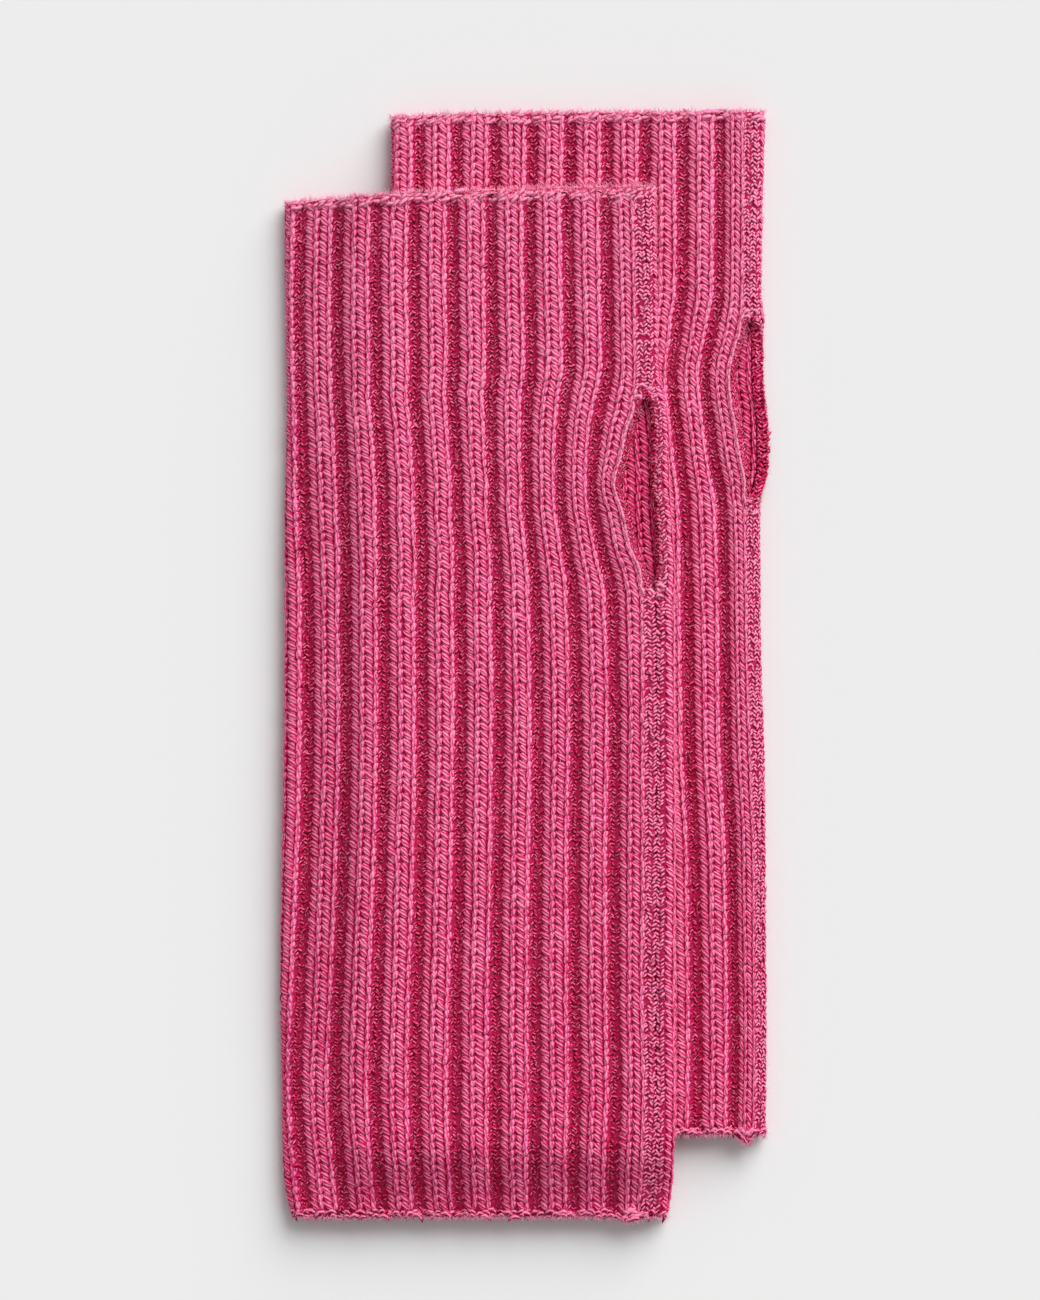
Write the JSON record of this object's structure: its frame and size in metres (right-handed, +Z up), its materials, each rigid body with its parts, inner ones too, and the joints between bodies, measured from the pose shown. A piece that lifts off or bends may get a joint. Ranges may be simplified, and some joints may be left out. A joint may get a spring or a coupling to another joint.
{
  "type": "pair of rib-knit wrist warmers",
  "caption": "Pair of long fingerless wrist warmers in chunky rib knit, flat tubes with a thumb slit in the side seam, laid one partly over the other.",
  "frame": {"origin": "on the table, under the middle of the outline of the whole pair", "axes": "+Z up from the table, +Y along the warmers towards the finger ends, +X towards the seam and thumb slit side"},
  "size_m": [0.1292, 0.2928, 0.0135],
  "materials": {
    "wool_knit": "matt heather-pink wool yarn, chunky 2 by 2 rib knit, soft fuzz"
  },
  "bodies": {
    "root": {"lower_warmer": "wool_knit", "upper_warmer": "wool_knit"}
  },
  "joints": []
}
